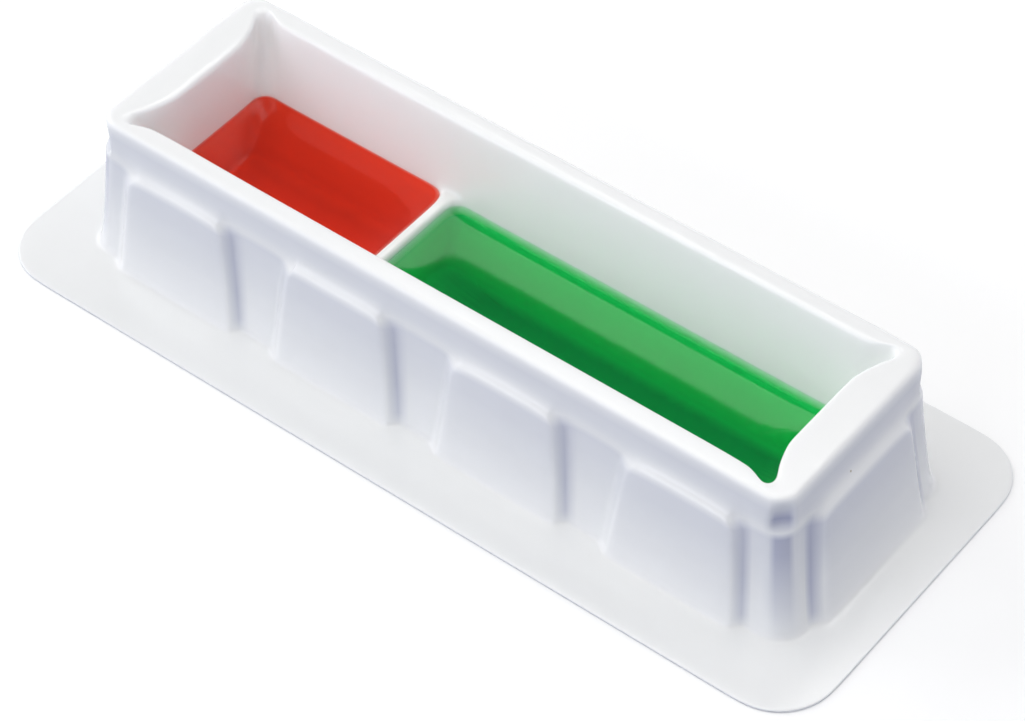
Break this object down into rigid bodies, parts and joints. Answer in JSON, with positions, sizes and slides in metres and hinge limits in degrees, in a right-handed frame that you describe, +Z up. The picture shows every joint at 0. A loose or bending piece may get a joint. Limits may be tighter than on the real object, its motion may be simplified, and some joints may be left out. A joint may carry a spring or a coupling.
{
  "type": "reagent reservoir",
  "caption": "Long divided reagent reservoir for a multichannel pipette, formed from thin white sheet with stacking pads, corner spouts and a flat flange, with a reagent in each well.",
  "frame": {"origin": "on the table, under the middle of the flange", "axes": "+X along the length, from the small well towards the large well; +Y across the width; +Z up, out of the trough"},
  "size_m": [0.15, 0.0622, 0.0266],
  "materials": {
    "white_sheet": "gloss",
    "red_reagent": "gloss",
    "green_reagent": "gloss"
  },
  "bodies": {
    "root": {"reservoir": "white_sheet", "first_reagent": "red_reagent", "second_reagent": "green_reagent"}
  },
  "joints": []
}
